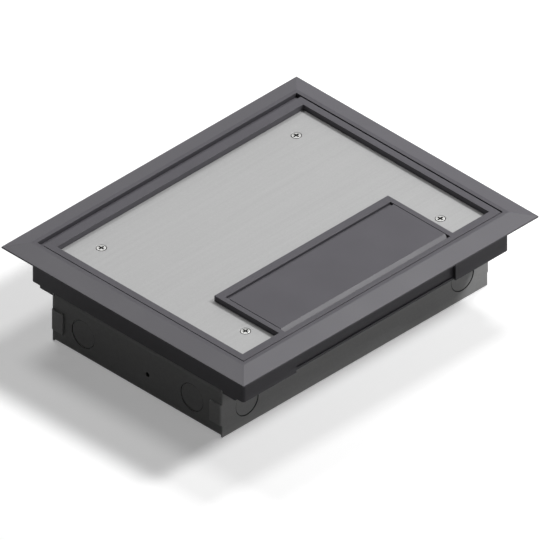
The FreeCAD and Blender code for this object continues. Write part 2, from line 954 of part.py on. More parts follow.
def make_socket_terminals():
    top = plate_top - socket_depth
    half = terminal_size / 2
    reach = half + margin
    bore_z = top - terminal_bore_drop
    blocks = []
    for x in (-plate_spacing, 0.0):
        for y in (-terminal_pitch, 0.0, terminal_pitch):
            body = block(x - half, x + half, y - half, y + half, top - terminal_height, top)
            bore = rod(terminal_bore_radius, V(x - reach, y, bore_z), V(x + reach, y, bore_z))
            blocks.append(body.cut(bore))
    return group(blocks)


def make_data_module(x, y):
    face = block(
        x - data_face_width / 2, x + data_face_width / 2,
        y - data_face_length / 2, y + data_face_length / 2,
        plate_top, plate_top + data_face,
    )
    inset = data_shoulder + slip
    body = block(
        x - data_face_width / 2 + inset, x + data_face_width / 2 - inset,
        y - data_face_length / 2 + inset, y + data_face_length / 2 - inset,
        plate_top - data_depth, plate_top,
    )
    top = plate_top + data_face
    jack = block(
        x - jack_width / 2, x + jack_width / 2,
        y - jack_height / 2, y + jack_height / 2,
        top - jack_depth, top + margin,
    )
    latch = block(
        x - latch_width / 2, x + latch_width / 2,
        y - jack_height / 2 - latch_height, y,
        top - jack_depth, top + margin,
    )
    return fuse([face, body]).cut(fuse([jack, latch]))


def make_data_modules():
    return group([make_data_module(plate_spacing, y) for y in data_centres()])


# Every piece and its file

def make_parts():
    side_front = make_side_plate_front()
    rail_front = make_rail_front()
    parts = {
        "box_wrapper": make_box_wrapper(),
        "side_plate_front": side_front,
        "side_plate_rear": mirror_y(side_front),
        "knockout_discs": make_knockout_discs(),
        "plate_rail_front": rail_front,
        "plate_rail_rear": mirror_y(rail_front),
        "divider_left": make_divider(-1),
        "divider_right": make_divider(1),
        "earth_stud": make_earth_stud(),
        "earth_nut": make_earth_nut(),
        "trim_frame": make_frame(),
        "frame_screws": make_frame_screws(),
        "lid_seal": make_lid_seal(),
        "hinge_pins": make_hinge_pins(),
        "lid_frame": make_lid_frame(),
        "lid_plate": make_lid_plate(),
        "lid_screws": make_lid_screws(),
        "cable_flap": make_flap(),
        "flap_pin": make_flap_pin(),
        "socket_plate_left": make_socket_plate(-plate_spacing),
        "socket_plate_middle": make_socket_plate(0.0),
        "data_plate": make_data_plate(plate_spacing),
        "plate_screws": make_plate_screws(),
        "twin_socket_left": make_twin_socket(-plate_spacing),
        "twin_socket_middle": make_twin_socket(0.0),
        "socket_terminals": make_socket_terminals(),
        "data_modules": make_data_modules(),
    }
    for name, x in (("left", -plate_spacing), ("middle", 0.0)):
        for number, place in enumerate(rocker_places(x), 1):
            parts[f"rocker_{name}_{number}"] = make_rocker(place)
    turns = ((-1, -1), (1, -1), (1, 1), (-1, 1))
    for number, (side, end) in enumerate(turns, 1):
        x = side * clamp_x
        y = end * clamp_y
        parts[f"clamp_screw_{number}"] = make_clamp_screw(x, y)
        parts[f"clamp_jaw_{number}"] = make_clamp_jaw(x, y)
    return parts


os.makedirs("parts", exist_ok=True)
for name, shape in make_parts().items():
    shape.exportStep(f"parts/{name}.step")
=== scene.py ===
import json
import math

import bmesh
import bpy
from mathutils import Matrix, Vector


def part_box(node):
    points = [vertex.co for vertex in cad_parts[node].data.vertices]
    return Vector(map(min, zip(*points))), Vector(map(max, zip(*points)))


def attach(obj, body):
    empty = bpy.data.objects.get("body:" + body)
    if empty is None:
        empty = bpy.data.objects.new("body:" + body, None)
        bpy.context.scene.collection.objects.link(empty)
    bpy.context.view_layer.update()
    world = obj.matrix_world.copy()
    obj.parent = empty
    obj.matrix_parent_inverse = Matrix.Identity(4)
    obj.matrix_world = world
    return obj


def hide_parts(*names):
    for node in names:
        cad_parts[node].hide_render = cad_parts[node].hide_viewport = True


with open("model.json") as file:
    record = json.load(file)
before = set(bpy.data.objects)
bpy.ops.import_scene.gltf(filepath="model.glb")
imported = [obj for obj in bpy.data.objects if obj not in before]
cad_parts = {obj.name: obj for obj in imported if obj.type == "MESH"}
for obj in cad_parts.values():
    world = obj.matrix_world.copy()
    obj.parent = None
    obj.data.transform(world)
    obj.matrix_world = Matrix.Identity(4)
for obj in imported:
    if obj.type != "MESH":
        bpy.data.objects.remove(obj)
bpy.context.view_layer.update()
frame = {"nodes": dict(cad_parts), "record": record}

# All lengths are in metres
mm = 0.001

# Colours: the light that each finish gives back, as red, green and blue
dark_plastic_colour = (0.102, 0.098, 0.110)
steel_colour = (0.47, 0.47, 0.47)
# A darker copy of the galvanised steel, painted shade, for the base and end walls
painted_shade_steel_colour = (0.34, 0.34, 0.34)
plate_colour = (0.385, 0.385, 0.385)
zinc_colour = (0.50, 0.50, 0.49)
# Painted shade: near black, for the cross recesses, the seats round sunk screw heads and the cuts round
# punched discs
painted_shade_colour = (0.018, 0.018, 0.018)
moulding_white = (0.80, 0.80, 0.78)
brass_colour = (0.62, 0.45, 0.18)
gold_colour = (0.83, 0.61, 0.25)
rubber_colour = (0.028, 0.028, 0.030)
switch_red = (0.55, 0.020, 0.015)
shutter_grey = (0.45, 0.45, 0.44)

# Textures: how close their marks lie, how deep they are and how much they show
cloud_scale = 28
grain_strength = 0.6
streak_depth = 0.02 * mm
streak_strength = 0.35
crystal_share = 0.35
steel_variation = 0.05
tool_mark_scale = 900
tool_mark_depth = 0.01 * mm
tool_mark_strength = 0.3
metal_variation = 0.07
matt_reflection = 0.15
noise_span = (0.3, 0.7)

# How far the sharp edges of each kind of piece are rounded
moulded_edge = 0.22 * mm
sheet_edge = 0.16 * mm
small_edge = 0.12 * mm
pin_edge = 0.25 * mm
disc_edge = 0.35 * mm
seal_edge = 0.7 * mm
rounding_steps = 2

# What counts as one corner, as a sharp edge and as a shallow crease
merge_distance = 0.002 * mm
edge_angle = math.radians(28)
crease_angle = math.radians(8)
crease_length = 15 * mm
crease_breadth = 0.5 * mm

# Punched discs: where their circles stand on the walls, the ring of painted shade round each, how
# squarely a face looks out to be flat wall, and how far from the middle the end walls stand
end_disc_inset = 33.0 * mm
end_disc_height = 22.5 * mm
side_disc_inset = 28.2 * mm
side_disc_height = 21.3 * mm
shade_ring_inner_radius = 11.9 * mm
shade_ring_outer_radius = 13.2 * mm
flat_facing = 0.99
end_walls_from = 140 * mm

# Rockers: how squarely a face looks along Y to count as the end that is marked
marked_end = 0.9

# Floor clamps: one near each corner
clamp_numbers = (1, 2, 3, 4)

# Screws: their sizes, with the most that each may be turned, and the outlines of their heads, which
# give a share of the radius at a share of the height
lid_head_radius = 4.65 * mm
pan_head_radius = 3.6 * mm
pan_head_height = 2.2 * mm
clamp_head_height = 3.0 * mm
plate_screw_inset_x = 6.5 * mm
plate_screw_inset_y = 4.2 * mm
recess_depth = 1.5 * mm
recess_taper = 0.7
recess_overrun = 1.1
# Share of a sunk head's height below which the head is painted shade, as the seat round it
shaded_rim_share = 0.97
head_sides = 32
head_rings = 10
shank_sides = 16
thread_pitch = 0.7 * mm
thread_depth = 0.3 * mm
thread_steps = 14
square_sides = 4
pan_outline = ((0, 1), (0.3, 1), (0.6, 0.95), (0.8, 0.86), (1, 0.62))
countersunk_outline = ((0, 0.53), (0.8, 1), (0.9, 0.94), (1, 0.82))
lid_screw_sizes = {
    "Head Radius": lid_head_radius, "Head Height": 2.2 * mm,
    "Recess Span": 5.8 * mm, "Recess Width": 1.6 * mm, "Shank Radius": 2.4 * mm, "Turn": 0.0,
}
pan_screw_sizes = {
    "Head Radius": pan_head_radius, "Head Height": pan_head_height,
    "Recess Span": 4.2 * mm, "Recess Width": 1.1 * mm, "Shank Radius": 1.9 * mm, "Turn": math.tau,
}
clamp_screw_sizes = {
    "Head Height": clamp_head_height,
    "Recess Span": 4.8 * mm, "Recess Width": 1.1 * mm, "Shank Radius": 1.95 * mm, "Turn": 0.0,
}

# Socket outlets: where their slots stand, and the shutters and earth contacts inside
outlet_reach = 48 * mm
half_pin_spacing = 11.1 * mm
shutter_size = (6.7 * mm, 4.8 * mm, 1.2 * mm)
shutter_drop = 3.4 * mm
shutter_slope = math.radians(24)
leaf_size = (0.6 * mm, 7.6 * mm, 11 * mm)
leaf_drop = 7.5 * mm
leaf_offset = 1.85 * mm

# Data jacks: where they stand, and the contact wires inside
jack_count = 4
jack_face_length = 38 * mm
jack_half_height = 3.45 * mm
contact_drop = 3.0 * mm
bend_steps = 6
contact_sizes = {
    "Count": 8, "Pitch": 1.02 * mm, "Wire Width": 0.46 * mm, "Wire Thickness": 0.25 * mm,
    "Reach": 3.4 * mm, "Depth": 6.5 * mm,
}

# View of the photograph: a true isometric one, square, 432 mm wide
view_width = 0.432
view_distance = 1.6
view_point = Vector((-0.0365, -0.0365, 0.078))
towards_camera = Vector((-1, -1, 1)).normalized()

# Surroundings: the lit floor, the faint grey that floor and world throw on the object, and the white
# that both show to the camera
floor_colour = (0.95, 0.95, 0.95, 1)
surrounding_colour = (0.035, 0.035, 0.035, 1)
plain_white = (1, 1, 1, 1)

# Floor: its size, its own glow, how far it takes the object's shadow, and where it is plain white
floor_half = 20
floor_drop = 0.2 * mm
floor_glow = 0.28
shadow_reach = 0.35
white_reach = 0.9

# Lamps: how far each stands from the object
lamp_distance = 2.5


# Nodes of materials and of Geometry Nodes alike

def connect(tree, node, inputs):
    """Sets each input of a node, or links it where the value comes from another node."""
    for name, value in inputs.items():
        if isinstance(value, bpy.types.NodeSocket):
            tree.links.new(value, node.inputs[name])
        else:
            node.inputs[name].default_value = value


def add(tree, kind, inputs=None, **settings):
    """A node with its settings made and its inputs set or linked."""
    node = tree.nodes.new(kind)
    for setting, value in settings.items():
        setattr(node, setting, value)
    connect(tree, node, inputs or {})
    return node


def maths(tree, operation, first, second=0.0):
    return add(tree, "ShaderNodeMath", {0: first, 1: second}, operation=operation).outputs[0]


# Materials

finishes = {}


def new_material(name):
    """A new material, kept under its name among the finishes, as its node tree and its shader."""
    material = bpy.data.materials.new(name)
    material.use_nodes = True
    finishes[name] = material
    return material.node_tree, material.node_tree.nodes["Principled BSDF"]


def place_on_piece(tree, stretch=(1, 1, 1)):
    """Object coordinates, stretched along the axes that a finish runs in."""
    source = add(tree, "ShaderNodeTexCoord").outputs["Object"]
    return add(tree, "ShaderNodeMapping", {"Vector": source, "Scale": stretch}).outputs["Vector"]


def noise(tree, place, scale, detail, roughness=0.5):
    inputs = {"Vector": place, "Scale": scale, "Detail": detail, "Roughness": roughness}
    return add(tree, "ShaderNodeTexNoise", inputs).outputs["Fac"]


def spread(tree, value, low, high, span=noise_span):
    """The value, taken from its span to one that runs from low to high."""
    inputs = {"Value": value, "From Min": span[0], "From Max": span[1], "To Min": low, "To Max": high}
    return add(tree, "ShaderNodeMapRange", inputs).outputs["Result"]


def tinted(tree, value, colour, variation):
    """The colour, from a little darker to a little lighter as the value rises."""
    ramp = add(tree, "ShaderNodeValToRGB", {"Fac": value})
    shares = (1 - variation, 1 + variation)
    for stop, place, share in zip(ramp.color_ramp.elements, noise_span, shares):
        stop.position = place
        stop.color = (*(part * share for part in colour), 1)
    return ramp.outputs["Color"]


def bump(tree, value, depth, strength):
    inputs = {"Height": value, "Distance": depth, "Strength": strength}
    return add(tree, "ShaderNodeBump", inputs).outputs["Normal"]


def moulded_plastic(name, colour, variation, roughness, grain, grain_depth):
    """Moulded plastic with a fine spark-eroded grain, rubbed a little smoother in places."""
    tree, shader = new_material(name)
    place = place_on_piece(tree)
    cloud = noise(tree, place, cloud_scale, detail=3)
    grains = noise(tree, place, grain, detail=2, roughness=0.6)
    connect(tree, shader, {
        "Specular IOR Level": matt_reflection,
        "Base Color": tinted(tree, cloud, colour, variation),
        "Roughness": spread(tree, cloud, *roughness),
        "Normal": bump(tree, grains, grain_depth, grain_strength),
    })


def sheet_steel(name, colour, metallic, roughness, spangle, rolling):
    """Zinc-coated sheet: faint spangle over the streaks of rolling."""
    tree, shader = new_material(name)
    streaks = noise(tree, place_on_piece(tree, rolling), scale=1, detail=4, roughness=0.6)
    crystals = add(tree, "ShaderNodeTexVoronoi", {"Vector": place_on_piece(tree), "Scale": spangle})
    tones = {"Factor": crystal_share, "A": streaks, "B": crystals.outputs["Distance"]}
    tone = add(tree, "ShaderNodeMix", tones).outputs["Result"]
    connect(tree, shader, {
        "Metallic": metallic,
        "Specular IOR Level": matt_reflection,
        "Base Color": tinted(tree, tone, colour, steel_variation),
        "Roughness": spread(tree, tone, *roughness),
        "Normal": bump(tree, streaks, streak_depth, streak_strength),
    })


def plated_metal(name, colour, metallic, roughness):
    """Small turned or plated parts, with fine tool marks."""
    tree, shader = new_material(name)
    marks = noise(tree, place_on_piece(tree), tool_mark_scale, detail=3)
    connect(tree, shader, {
        "Metallic": metallic,
        "Base Color": tinted(tree, marks, colour, metal_variation),
        "Roughness": spread(tree, marks, *roughness),
        "Normal": bump(tree, marks, tool_mark_depth, tool_mark_strength),
    })


def seen_directly(tree):
    """1 for what the camera sees, itself or in metal or through glass, and 0 for thrown light."""
    path = add(tree, "ShaderNodeLightPath").outputs
    seen_in_metal = maths(tree, "MAXIMUM", path["Is Camera Ray"], path["Is Glossy Ray"])
    return maths(tree, "MAXIMUM", seen_in_metal, path["Is Transmission Ray"])


def blended(tree, share, first, second):
    return add(tree, "ShaderNodeMixShader", {"Fac": share, 1: first, 2: second}).outputs["Shader"]


def pale_floor():
    """White to the eye, lit near the object and plain farther off, and dark to the light it throws."""
    tree, lit = new_material("pale_floor")
    connect(tree, lit, {
        "Base Color": floor_colour,
        "Roughness": 0.9,
        "Specular IOR Level": 0.1,
        "Emission Color": plain_white,
        "Emission Strength": floor_glow,
    })
    plain = add(tree, "ShaderNodeEmission")
    dark = add(tree, "ShaderNodeBsdfDiffuse", {"Color": surrounding_colour})
    flat_place = place_on_piece(tree, (1, 1, 0))
    distance = add(tree, "ShaderNodeVectorMath", {0: flat_place}, operation="LENGTH")
    away = spread(tree, distance.outputs["Value"], 0, 1, (shadow_reach, white_reach))
    seen = blended(tree, away, lit.outputs["BSDF"], plain.outputs["Emission"])
    whole = blended(tree, seen_directly(tree), dark.outputs["BSDF"], seen)
    connect(tree, tree.nodes["Material Output"], {"Surface": whole})


moulded_plastic(
    "dark_plastic", dark_plastic_colour,
    variation=0.04, roughness=(0.34, 0.38), grain=1500, grain_depth=0.05 * mm,
)
sheet_steel(
    "galvanised_steel", steel_colour,
    metallic=0.05, roughness=(0.48, 0.60), spangle=420, rolling=(12, 240, 240),
)
# The galvanised steel made darker: painted shade for the base and end walls
sheet_steel(
    "painted_shade_steel", painted_shade_steel_colour,
    metallic=0.05, roughness=(0.48, 0.60), spangle=420, rolling=(12, 240, 240),
)
sheet_steel(
    "lid_steel", plate_colour,
    metallic=0.35, roughness=(0.50, 0.58), spangle=700, rolling=(6, 520, 520),
)
plated_metal("zinc_steel", zinc_colour, metallic=0.9, roughness=(0.28, 0.40))
# A near-black finish of painted shade, for recesses, the seats round sunk heads and the cuts round
# punched discs
plated_metal("painted_shade_zinc", painted_shade_colour, metallic=0.0, roughness=(0.7, 0.8))
moulded_plastic(
    "white_plastic", moulding_white,
    variation=0.012, roughness=(0.24, 0.30), grain=700, grain_depth=0.01 * mm,
)
plated_metal("brass", brass_colour, metallic=1.0, roughness=(0.26, 0.38))
plated_metal("gold", gold_colour, metallic=1.0, roughness=(0.18, 0.26))
moulded_plastic(
    "rubber", rubber_colour,
    variation=0.10, roughness=(0.75, 0.85), grain=1100, grain_depth=0.04 * mm,
)
moulded_plastic(
    "switch_red", switch_red,
    variation=0.04, roughness=(0.28, 0.34), grain=700, grain_depth=0.01 * mm,
)
moulded_plastic(
    "shutter_grey", shutter_grey,
    variation=0.03, roughness=(0.35, 0.42), grain=900, grain_depth=0.02 * mm,
)
pale_floor()


# Pieces made from the frame's own nodes

slot_of_node = {part["node"]: part["material_slot"] for part in frame["record"]["subparts"]}
body_of_node = {
    node: body
    for body, nodes in frame["record"]["behaviour"]["bodies"].items()
    for node in nodes
}


def merged_copy(node, name):
    """A node's surface with its corners joined, free of the normals that it came with."""
    shape = bmesh.new()
    shape.from_mesh(frame["nodes"][node].data)
    bmesh.ops.remove_doubles(shape, verts=shape.verts, dist=merge_distance)
    shape.verts.index_update()
    corners = [vert.co.copy() for vert in shape.verts]
    faces = [[vert.index for vert in face.verts] for face in shape.faces]
    shape.free()
    mesh = bpy.data.meshes.new(name)
    mesh.from_pydata(corners, [], faces)
    piece = bpy.data.objects.new(name, mesh)
    bpy.context.scene.collection.objects.link(piece)
    return piece


def is_crease(edge, angle):
    """A long shallow edge between two broad faces, not one between the strips of a round face."""
    length = edge.calc_length()
    broad = all(face.calc_area() > crease_breadth * length for face in edge.link_faces)
    return angle > crease_angle and length > crease_length and broad


def mark_edges(mesh, creased):
    """Marks what is to be rounded: each sharp edge and, on creased pieces, each shallow crease."""
    shape = bmesh.new()
    shape.from_mesh(mesh)
    weight = shape.edges.layers.float.new("bevel_weight_edge")
    for edge in shape.edges:
        angle = edge.calc_face_angle(0)
        is_marked = angle > edge_angle or (creased and is_crease(edge, angle))
        edge[weight] = 1.0 if is_marked else 0.0
    shape.to_mesh(mesh)
    shape.free()


def baked(piece):
    """The piece with its modifiers made part of its mesh."""
    graph = bpy.context.evaluated_depsgraph_get()
    mesh = bpy.data.meshes.new_from_object(piece.evaluated_get(graph))
    piece.modifiers.clear()
    piece.data = mesh
    return piece


def rounded(piece, width, creased):
    """The piece with its sharp edges rounded and its round faces shaded smooth."""
    mark_edges(piece.data, creased)
    piece.data.polygons.foreach_set("use_smooth", [True] * len(piece.data.polygons))
    bevel = piece.modifiers.new("edges", "BEVEL")
    bevel.width = width
    bevel.segments = rounding_steps
    bevel.limit_method = "WEIGHT"
    bevel.use_clamp_overlap = False
    bevel.loop_slide = False
    normals = piece.modifiers.new("shading", "WEIGHTED_NORMAL")
    normals.keep_sharp = False
    return baked(piece)


def refine(node, width, finish=None, creased=False):
    """Stands a node's rounded copy in its place, in the finish of its slot unless another is named."""
    slot = slot_of_node[node]
    piece = rounded(merged_copy(node, f"{node}_finished"), width, creased)
    piece.data.materials.clear()
    piece.data.materials.append(finishes[finish or slot])
    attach(piece, body_of_node[node])
    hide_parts(node)
    return piece


def refinish(piece, finish, chosen):
    """Gives the chosen faces of a piece another finish."""
    piece.data.materials.append(finishes[finish])
    index = len(piece.data.materials) - 1
    for face in piece.data.polygons:
        if chosen(face):
            face.material_index = index


def is_marked_end(face):
    """The end of a rocker that stands out while it is switched on."""
    return face.normal.y > marked_end


def punched_circles():
    """The middle of each punched circle, and the axis that it faces along."""
    low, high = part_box("box_wrapper")
    end_places = (low.y + end_disc_inset, high.y - end_disc_inset)
    side_places = (low.x + side_disc_inset, high.x - side_disc_inset)
    ends = [((0, y, end_disc_height), 0) for y in end_places]
    sides = [((x, 0, side_disc_height), 1) for x in side_places]
    return ends + sides


circles = punched_circles()


def is_in_shaded_punched_ring(face):
    """Part of the narrow cut that runs round a punched disc, which is painted shade."""
    for middle, axis in circles:
        offset = face.center - Vector(middle)
        offset[axis] = 0
        in_ring = shade_ring_inner_radius < offset.length < shade_ring_outer_radius
        if in_ring and abs(face.normal[axis]) < flat_facing:
            return True
    return False


def is_in_end_wall(face):
    """Part of a disc in an end wall, which is punched from that wall's steel and takes its darker copy,
    painted shade.
    """
    return abs(face.center.x) > end_walls_from and not is_in_shaded_punched_ring(face)


for node in ("trim_frame", "lid_frame", "cable_flap"):
    refine(node, moulded_edge, creased=True)
for node in ("twin_socket_left", "twin_socket_middle", "data_modules"):
    refine(node, small_edge)
for side in ("left", "middle"):
    for number in (1, 2):
        rocker = refine(f"rocker_{side}_{number}", moulded_edge)
        refinish(rocker, "switch_red", is_marked_end)
refine("lid_plate", sheet_edge, finish="lid_steel")
# The base and end walls take the darker steel, painted shade
wrapper = refine("box_wrapper", sheet_edge, finish="painted_shade_steel")
# The cut round each punched disc, in the walls and in the discs, is painted shade
refinish(wrapper, "painted_shade_zinc", is_in_shaded_punched_ring)
for node in ("side_plate_front", "side_plate_rear"):
    refinish(refine(node, sheet_edge), "painted_shade_zinc", is_in_shaded_punched_ring)
discs = refine("knockout_discs", disc_edge)
refinish(discs, "painted_shade_zinc", is_in_shaded_punched_ring)
# Discs in the end walls take the same darker steel, painted shade
refinish(discs, "painted_shade_steel", is_in_end_wall)
inner_sheet_nodes = (
    "plate_rail_front", "plate_rail_rear", "divider_left", "divider_right",
    "socket_plate_left", "socket_plate_middle", "data_plate",
)
for node in inner_sheet_nodes:
    refine(node, sheet_edge)
for number in clamp_numbers:
    refine(f"clamp_jaw_{number}", sheet_edge)
for node in ("hinge_pins", "flap_pin"):
    refine(node, pin_edge)
for node in ("socket_terminals", "earth_stud", "earth_nut"):
    refine(node, small_edge)
refine("lid_seal", seal_edge)


# Geometry Nodes that grow a piece on a point at each place

def new_tree(name, sizes, materials):
    """A tree with places, named sizes and named materials going in, and the pieces coming out."""
    tree = bpy.data.node_groups.new(name, "GeometryNodeTree")
    tree.interface.new_socket("Places", in_out="INPUT", socket_type="NodeSocketGeometry")
    for size in sizes:
        tree.interface.new_socket(size, in_out="INPUT", socket_type="NodeSocketFloat")
    for material in materials:
        tree.interface.new_socket(material, in_out="INPUT", socket_type="NodeSocketMaterial")
    tree.interface.new_socket("Pieces", in_out="OUTPUT", socket_type="NodeSocketGeometry")
    return tree, add(tree, "NodeGroupInput").outputs


def vector(tree, x=0.0, y=0.0, z=0.0):
    return add(tree, "ShaderNodeCombineXYZ", {"X": x, "Y": y, "Z": z}).outputs["Vector"]


def position(tree):
    """Where each corner or face lies, as its X, Y and Z."""
    place = add(tree, "GeometryNodeInputPosition").outputs["Position"]
    return add(tree, "ShaderNodeSeparateXYZ", {"Vector": place}).outputs


def moved(tree, shape, **changes):
    """The shape with its Translation, Rotation or Scale changed."""
    return add(tree, "GeometryNodeTransform", {"Geometry": shape, **changes}).outputs["Geometry"]


def in_finish(tree, shape, material, selection=True):
    inputs = {"Geometry": shape, "Material": material, "Selection": selection}
    return add(tree, "GeometryNodeSetMaterial", inputs).outputs["Geometry"]


def joined(tree, shapes):
    """The shapes as one, in their order."""
    whole = add(tree, "GeometryNodeJoinGeometry")
    for shape in shapes:
        tree.links.new(shape, whole.inputs["Geometry"])
    return whole.outputs["Geometry"]


def on_each(tree, places, shape, rotation=(0, 0, 0)):
    """A real copy of the shape at each place."""
    inputs = {"Points": places, "Instance": shape, "Rotation": rotation}
    placed = add(tree, "GeometryNodeInstanceOnPoints", inputs).outputs["Instances"]
    return add(tree, "GeometryNodeRealizeInstances", {"Geometry": placed}).outputs["Geometry"]


def swept(tree, path, section):
    """A closed solid with the section all along the path."""
    inputs = {"Curve": path, "Profile Curve": section, "Fill Caps": True}
    return add(tree, "GeometryNodeCurveToMesh", inputs).outputs["Mesh"]


def compared(tree, value, operation, level):
    inputs = {0: value, 1: level}
    node = add(tree, "FunctionNodeCompare", inputs, data_type="FLOAT", operation=operation)
    return node.outputs["Result"]


def shaded(tree, shape):
    """Smooth over round faces, with an edge wherever two faces meet at a sharp angle."""
    smooth = add(tree, "GeometryNodeSetShadeSmooth", {"Geometry": shape}, domain="FACE")
    angle = add(tree, "GeometryNodeInputMeshEdgeAngle").outputs["Unsigned Angle"]
    sharp = compared(tree, angle, "GREATER_THAN", edge_angle)
    inputs = {"Geometry": smooth.outputs["Geometry"], "Selection": sharp, "Shade Smooth": False}
    return add(tree, "GeometryNodeSetShadeSmooth", inputs, domain="EDGE").outputs["Geometry"]


# Screws

def outline_curve(tree, value, outline):
    """The radius that an outline gives, as a share, at a share of the height."""
    curve = add(tree, "ShaderNodeFloatCurve", {"Value": value})
    points = curve.mapping.curves[0].points
    points[0].location = outline[0]
    points[1].location = outline[-1]
    for place in outline[1:-1]:
        points.new(*place)
    for point in points:
        point.handle_type = "VECTOR"
    curve.mapping.update()
    return curve.outputs["Value"]


def turned_head(tree, given, outline):
    """A turned solid that stands on z = 0, as wide at each height as its outline says.

    It starts as a cylinder of unit size about its middle, so 0.5 more than Z is the share of the height.
    """
    sizes = {"Vertices": head_sides, "Side Segments": head_rings, "Radius": 1.0, "Depth": 1.0}
    solid = add(tree, "GeometryNodeMeshCylinder", sizes).outputs["Mesh"]
    here = position(tree)
    up = maths(tree, "ADD", here["Z"], 0.5)
    reach = maths(tree, "MULTIPLY", outline_curve(tree, up, outline), given["Head Radius"])
    place = vector(
        tree,
        maths(tree, "MULTIPLY", here["X"], reach),
        maths(tree, "MULTIPLY", here["Y"], reach),
        maths(tree, "MULTIPLY", up, given["Head Height"]),
    )
    shaped = add(tree, "GeometryNodeSetPosition", {"Geometry": solid, "Position": place})
    return shaped.outputs["Geometry"]


def recess_bars(tree, given):
    """Two tapered bars, crossed, that sink a cross recess into a head."""
    low = maths(tree, "SUBTRACT", given["Head Height"], recess_depth)
    square_corner = math.sqrt(0.5)
    shape = {
        "Vertices": square_sides, "Depth": 1.0,
        "Radius Top": square_corner, "Radius Bottom": square_corner * recess_taper,
    }
    bars = []
    for size_x, size_y in (("Recess Span", "Recess Width"), ("Recess Width", "Recess Span")):
        bar = add(tree, "GeometryNodeMeshCone", shape).outputs["Mesh"]
        square = moved(tree, bar, Rotation=(0, 0, math.radians(45)))
        size = vector(tree, given[size_x], given[size_y], recess_depth * recess_overrun)
        bars.append(moved(tree, square, Translation=vector(tree, z=low), Scale=size))
    return bars


def screw_head(tree, given, outline, sunk):
    """A head with a cross recess, with painted shade in the recess and, where it is sunk, in the seat
    round it.
    """
    head = in_finish(tree, turned_head(tree, given, outline), given["Finish"])
    # A sunk head is painted shade below its rim, as the seat round it
    if sunk:
        rim = maths(tree, "MULTIPLY", given["Head Height"], shaded_rim_share)
        below = compared(tree, position(tree)["Z"], "LESS_THAN", rim)
        head = in_finish(tree, head, given["Painted Shade Finish"], below)
    settings = {"operation": "DIFFERENCE", "solver": "EXACT"}
    cut = add(tree, "GeometryNodeMeshBoolean", {"Mesh 1": head}, **settings)
    # The cross recess takes the finish of painted shade
    for bar in recess_bars(tree, given):
        tree.links.new(in_finish(tree, bar, given["Painted Shade Finish"]), cut.inputs["Mesh 2"])
    return cut.outputs["Mesh"]


def thread(tree, radius, length):
    """A ridge that winds down a shank, from just under the head to just above the tip."""
    reach = maths(tree, "SUBTRACT", length, 2 * thread_pitch)
    winding = add(tree, "GeometryNodeCurveSpiral", {
        "Resolution": thread_steps, "Rotations": maths(tree, "DIVIDE", reach, thread_pitch),
        "Start Radius": radius, "End Radius": radius, "Height": reach,
    })
    level = add(tree, "GeometryNodeSetCurveNormal", {"Curve": winding.outputs["Curve"]}, mode="Z_UP")
    section = {"Resolution": square_sides, "Radius": thread_depth}
    ridge = add(tree, "GeometryNodeCurvePrimitiveCircle", section, mode="RADIUS")
    low = maths(tree, "ADD", maths(tree, "MULTIPLY", length, -1.0), thread_pitch)
    solid = swept(tree, level.outputs["Curve"], ridge.outputs["Curve"])
    return moved(tree, solid, Translation=vector(tree, z=low))


def screw_shank(tree, given, threaded):
    """What hangs below the head: a plain rod or, on a thinner one, a thread."""
    length = given["Shank Length"]
    core = maths(tree, "SUBTRACT", given["Shank Radius"], thread_depth if threaded else 0.0)
    rod_sizes = {"Vertices": shank_sides, "Radius": core, "Depth": length}
    rod = add(tree, "GeometryNodeMeshCylinder", rod_sizes)
    middle = vector(tree, z=maths(tree, "MULTIPLY", length, -0.5))
    shapes = [moved(tree, rod.outputs["Mesh"], Translation=middle)]
    if threaded:
        shapes.append(thread(tree, core, length))
    return [in_finish(tree, shape, given["Finish"]) for shape in shapes]


def screw_tree(name, outline, sunk=False, threaded=False):
    """Cross-head screws. A sunk head ends flush with its place and the others stand on it."""
    sizes = (
        "Head Radius", "Head Height", "Recess Span", "Recess Width",
        "Shank Radius", "Shank Length", "Turn",
    )
    tree, given = new_tree(name, sizes, ("Finish", "Painted Shade Finish"))
    head = screw_head(tree, given, outline, sunk)
    whole = joined(tree, [head, *screw_shank(tree, given, threaded)])
    seat = maths(tree, "MULTIPLY", given["Head Height"], -1.0 if sunk else 0.0)
    screw = moved(tree, whole, Translation=vector(tree, z=seat))
    turn = add(tree, "FunctionNodeRandomValue", {"Max": given["Turn"], "Seed": 7}, data_type="FLOAT")
    screws = on_each(tree, given["Places"], screw, vector(tree, z=turn.outputs["Value"]))
    add(tree, "NodeGroupOutput", {"Pieces": shaded(tree, screws)})
    return tree


def without_empty_slots(piece):
    """The piece without the material slots that hold nothing."""
    slots = piece.data.materials
    for index in reversed(range(len(slots))):
        if slots[index] is None:
            slots.pop(index=index)
    return piece


def grown(name, tree, places, values):
    """What the tree makes of a point at each place, as a plain mesh."""
    mesh = bpy.data.meshes.new(name)
    mesh.from_pydata(places, [], [])
    piece = bpy.data.objects.new(name, mesh)
    bpy.context.scene.collection.objects.link(piece)
    maker = piece.modifiers.new("make", "NODES")
    maker.node_group = tree
    for item in tree.interface.items_tree:
        if item.name in values:
            maker[item.identifier] = values[item.name]
    return without_empty_slots(baked(piece))


def place_screws(node, tree, places, sizes, sunk=False):
    """Stands cross-head screws in the place of a node's, with their tips where the node's are."""
    low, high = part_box(node)
    seat = places[0][2] - (sizes["Head Height"] if sunk else 0)
    values = {
        **sizes, "Shank Length": seat - low.z,
        "Finish": finishes["zinc_steel"], "Painted Shade Finish": finishes["painted_shade_zinc"],
    }
    screws = grown(f"{node}_finished", tree, places, values)
    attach(screws, body_of_node[node])
    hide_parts(node)


